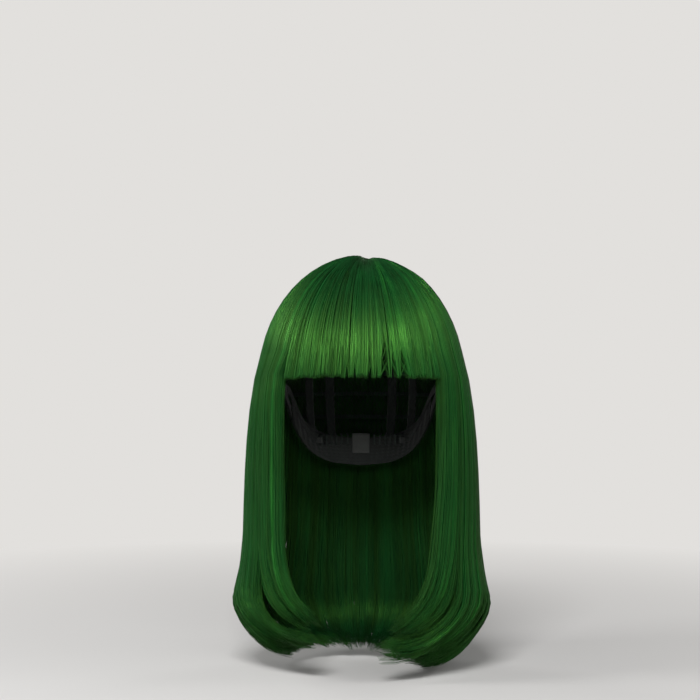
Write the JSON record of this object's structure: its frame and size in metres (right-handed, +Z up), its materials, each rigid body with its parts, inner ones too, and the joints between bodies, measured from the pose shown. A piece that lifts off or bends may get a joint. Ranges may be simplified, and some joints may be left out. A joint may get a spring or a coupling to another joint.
{
  "type": "costume wig",
  "caption": "Long bob costume wig with a straight fringe: a net cap with bands and wefts, nape adjusters and ear tabs, and hair that falls past the shoulders with turned-in ends.",
  "frame": {"origin": "centre of the head cavity in the plane where a hat size is measured, just above the ears", "axes": "+Z up towards the crown, -Y forward through the fringe, +X towards the wearer's left"},
  "size_m": [0.2168, 0.2126, 0.3378],
  "materials": {
    "hair": "glossy synthetic fibre",
    "weft": "machine-sewn thread",
    "net": "open knitted net",
    "band": "woven stretch tape",
    "elastic": "ribbed elastic",
    "parting": "fine mesh",
    "plastic": "moulded, satin",
    "label": "woven ribbon, blank"
  },
  "bodies": {
    "root": {"crown_net": "net", "front_band": "band", "side_band_left": "band", "side_band_right": "band", "nape_band": "band", "centre_tape": "band", "cross_tape": "band", "nape_tapes": "band", "crown_patch": "band", "parting_strip": "parting", "front_wefts": "weft", "side_wefts_left": "weft", "side_wefts_right": "weft", "crown_wefts": "weft", "back_wefts": "weft", "nape_weft": "weft", "adjuster_strap_left": "elastic", "adjuster_strap_right": "elastic", "strap_anchor_left": "elastic", "strap_anchor_right": "elastic", "hook_loops_left": "elastic", "hook_loops_right": "elastic", "blank_label": "label", "top_hair_left": "hair", "top_hair_right": "hair", "crown_hair_left": "hair", "crown_hair_right": "hair", "crown_hair_back": "hair"},
    "fringe": {"fringe_hair": "hair"},
    "side_left": {"side_hair_left": "hair"},
    "side_right": {"side_hair_right": "hair"},
    "back": {"back_hair": "hair"},
    "adjuster_left": {"adjuster_hook_left": "plastic"},
    "adjuster_right": {"adjuster_hook_right": "plastic"},
    "ear_left": {"ear_tab_left": "band", "ear_tab_stay_left": "plastic"},
    "ear_right": {"ear_tab_right": "band", "ear_tab_stay_right": "plastic"}
  },
  "joints": [
    {"name": "fringe_lift", "type": "hinge", "parent": "root", "child": "fringe", "pos_m": [0, -0.08626, 0.062], "axis": [-1, 0, 0], "range_deg": [0, 35]},
    {"name": "side_left_swing", "type": "hinge", "parent": "root", "child": "side_left", "pos_m": [0.08473, 0, 0.03], "axis": [0, -1, 0], "range_deg": [0, 25]},
    {"name": "side_right_swing", "type": "hinge", "parent": "root", "child": "side_right", "pos_m": [-0.08473, 0, 0.03], "axis": [0, 1, 0], "range_deg": [0, 25]},
    {"name": "back_swing", "type": "hinge", "parent": "root", "child": "back", "pos_m": [0, 0.10687, 0.03], "axis": [1, 0, 0], "range_deg": [0, 25]},
    {"name": "adjuster_left_shift", "type": "hinge", "parent": "root", "child": "adjuster_left", "pos_m": [0, 0.02925, -0.05], "axis": [0, 0, 1], "range_deg": [0, 22], "deforming": ["adjuster_strap_left"]},
    {"name": "adjuster_right_shift", "type": "hinge", "parent": "root", "child": "adjuster_right", "pos_m": [0, 0.02925, -0.05], "axis": [0, 0, -1], "range_deg": [0, 22], "deforming": ["adjuster_strap_right"]},
    {"name": "ear_tab_left_flex", "type": "hinge", "parent": "root", "child": "ear_left", "pos_m": [0.0718, -0.022, 0.0055], "axis": [0, 1, 0], "range_deg": [0, 20]},
    {"name": "ear_tab_right_flex", "type": "hinge", "parent": "root", "child": "ear_right", "pos_m": [-0.0718, -0.022, 0.0055], "axis": [0, -1, 0], "range_deg": [0, 20]}
  ]
}
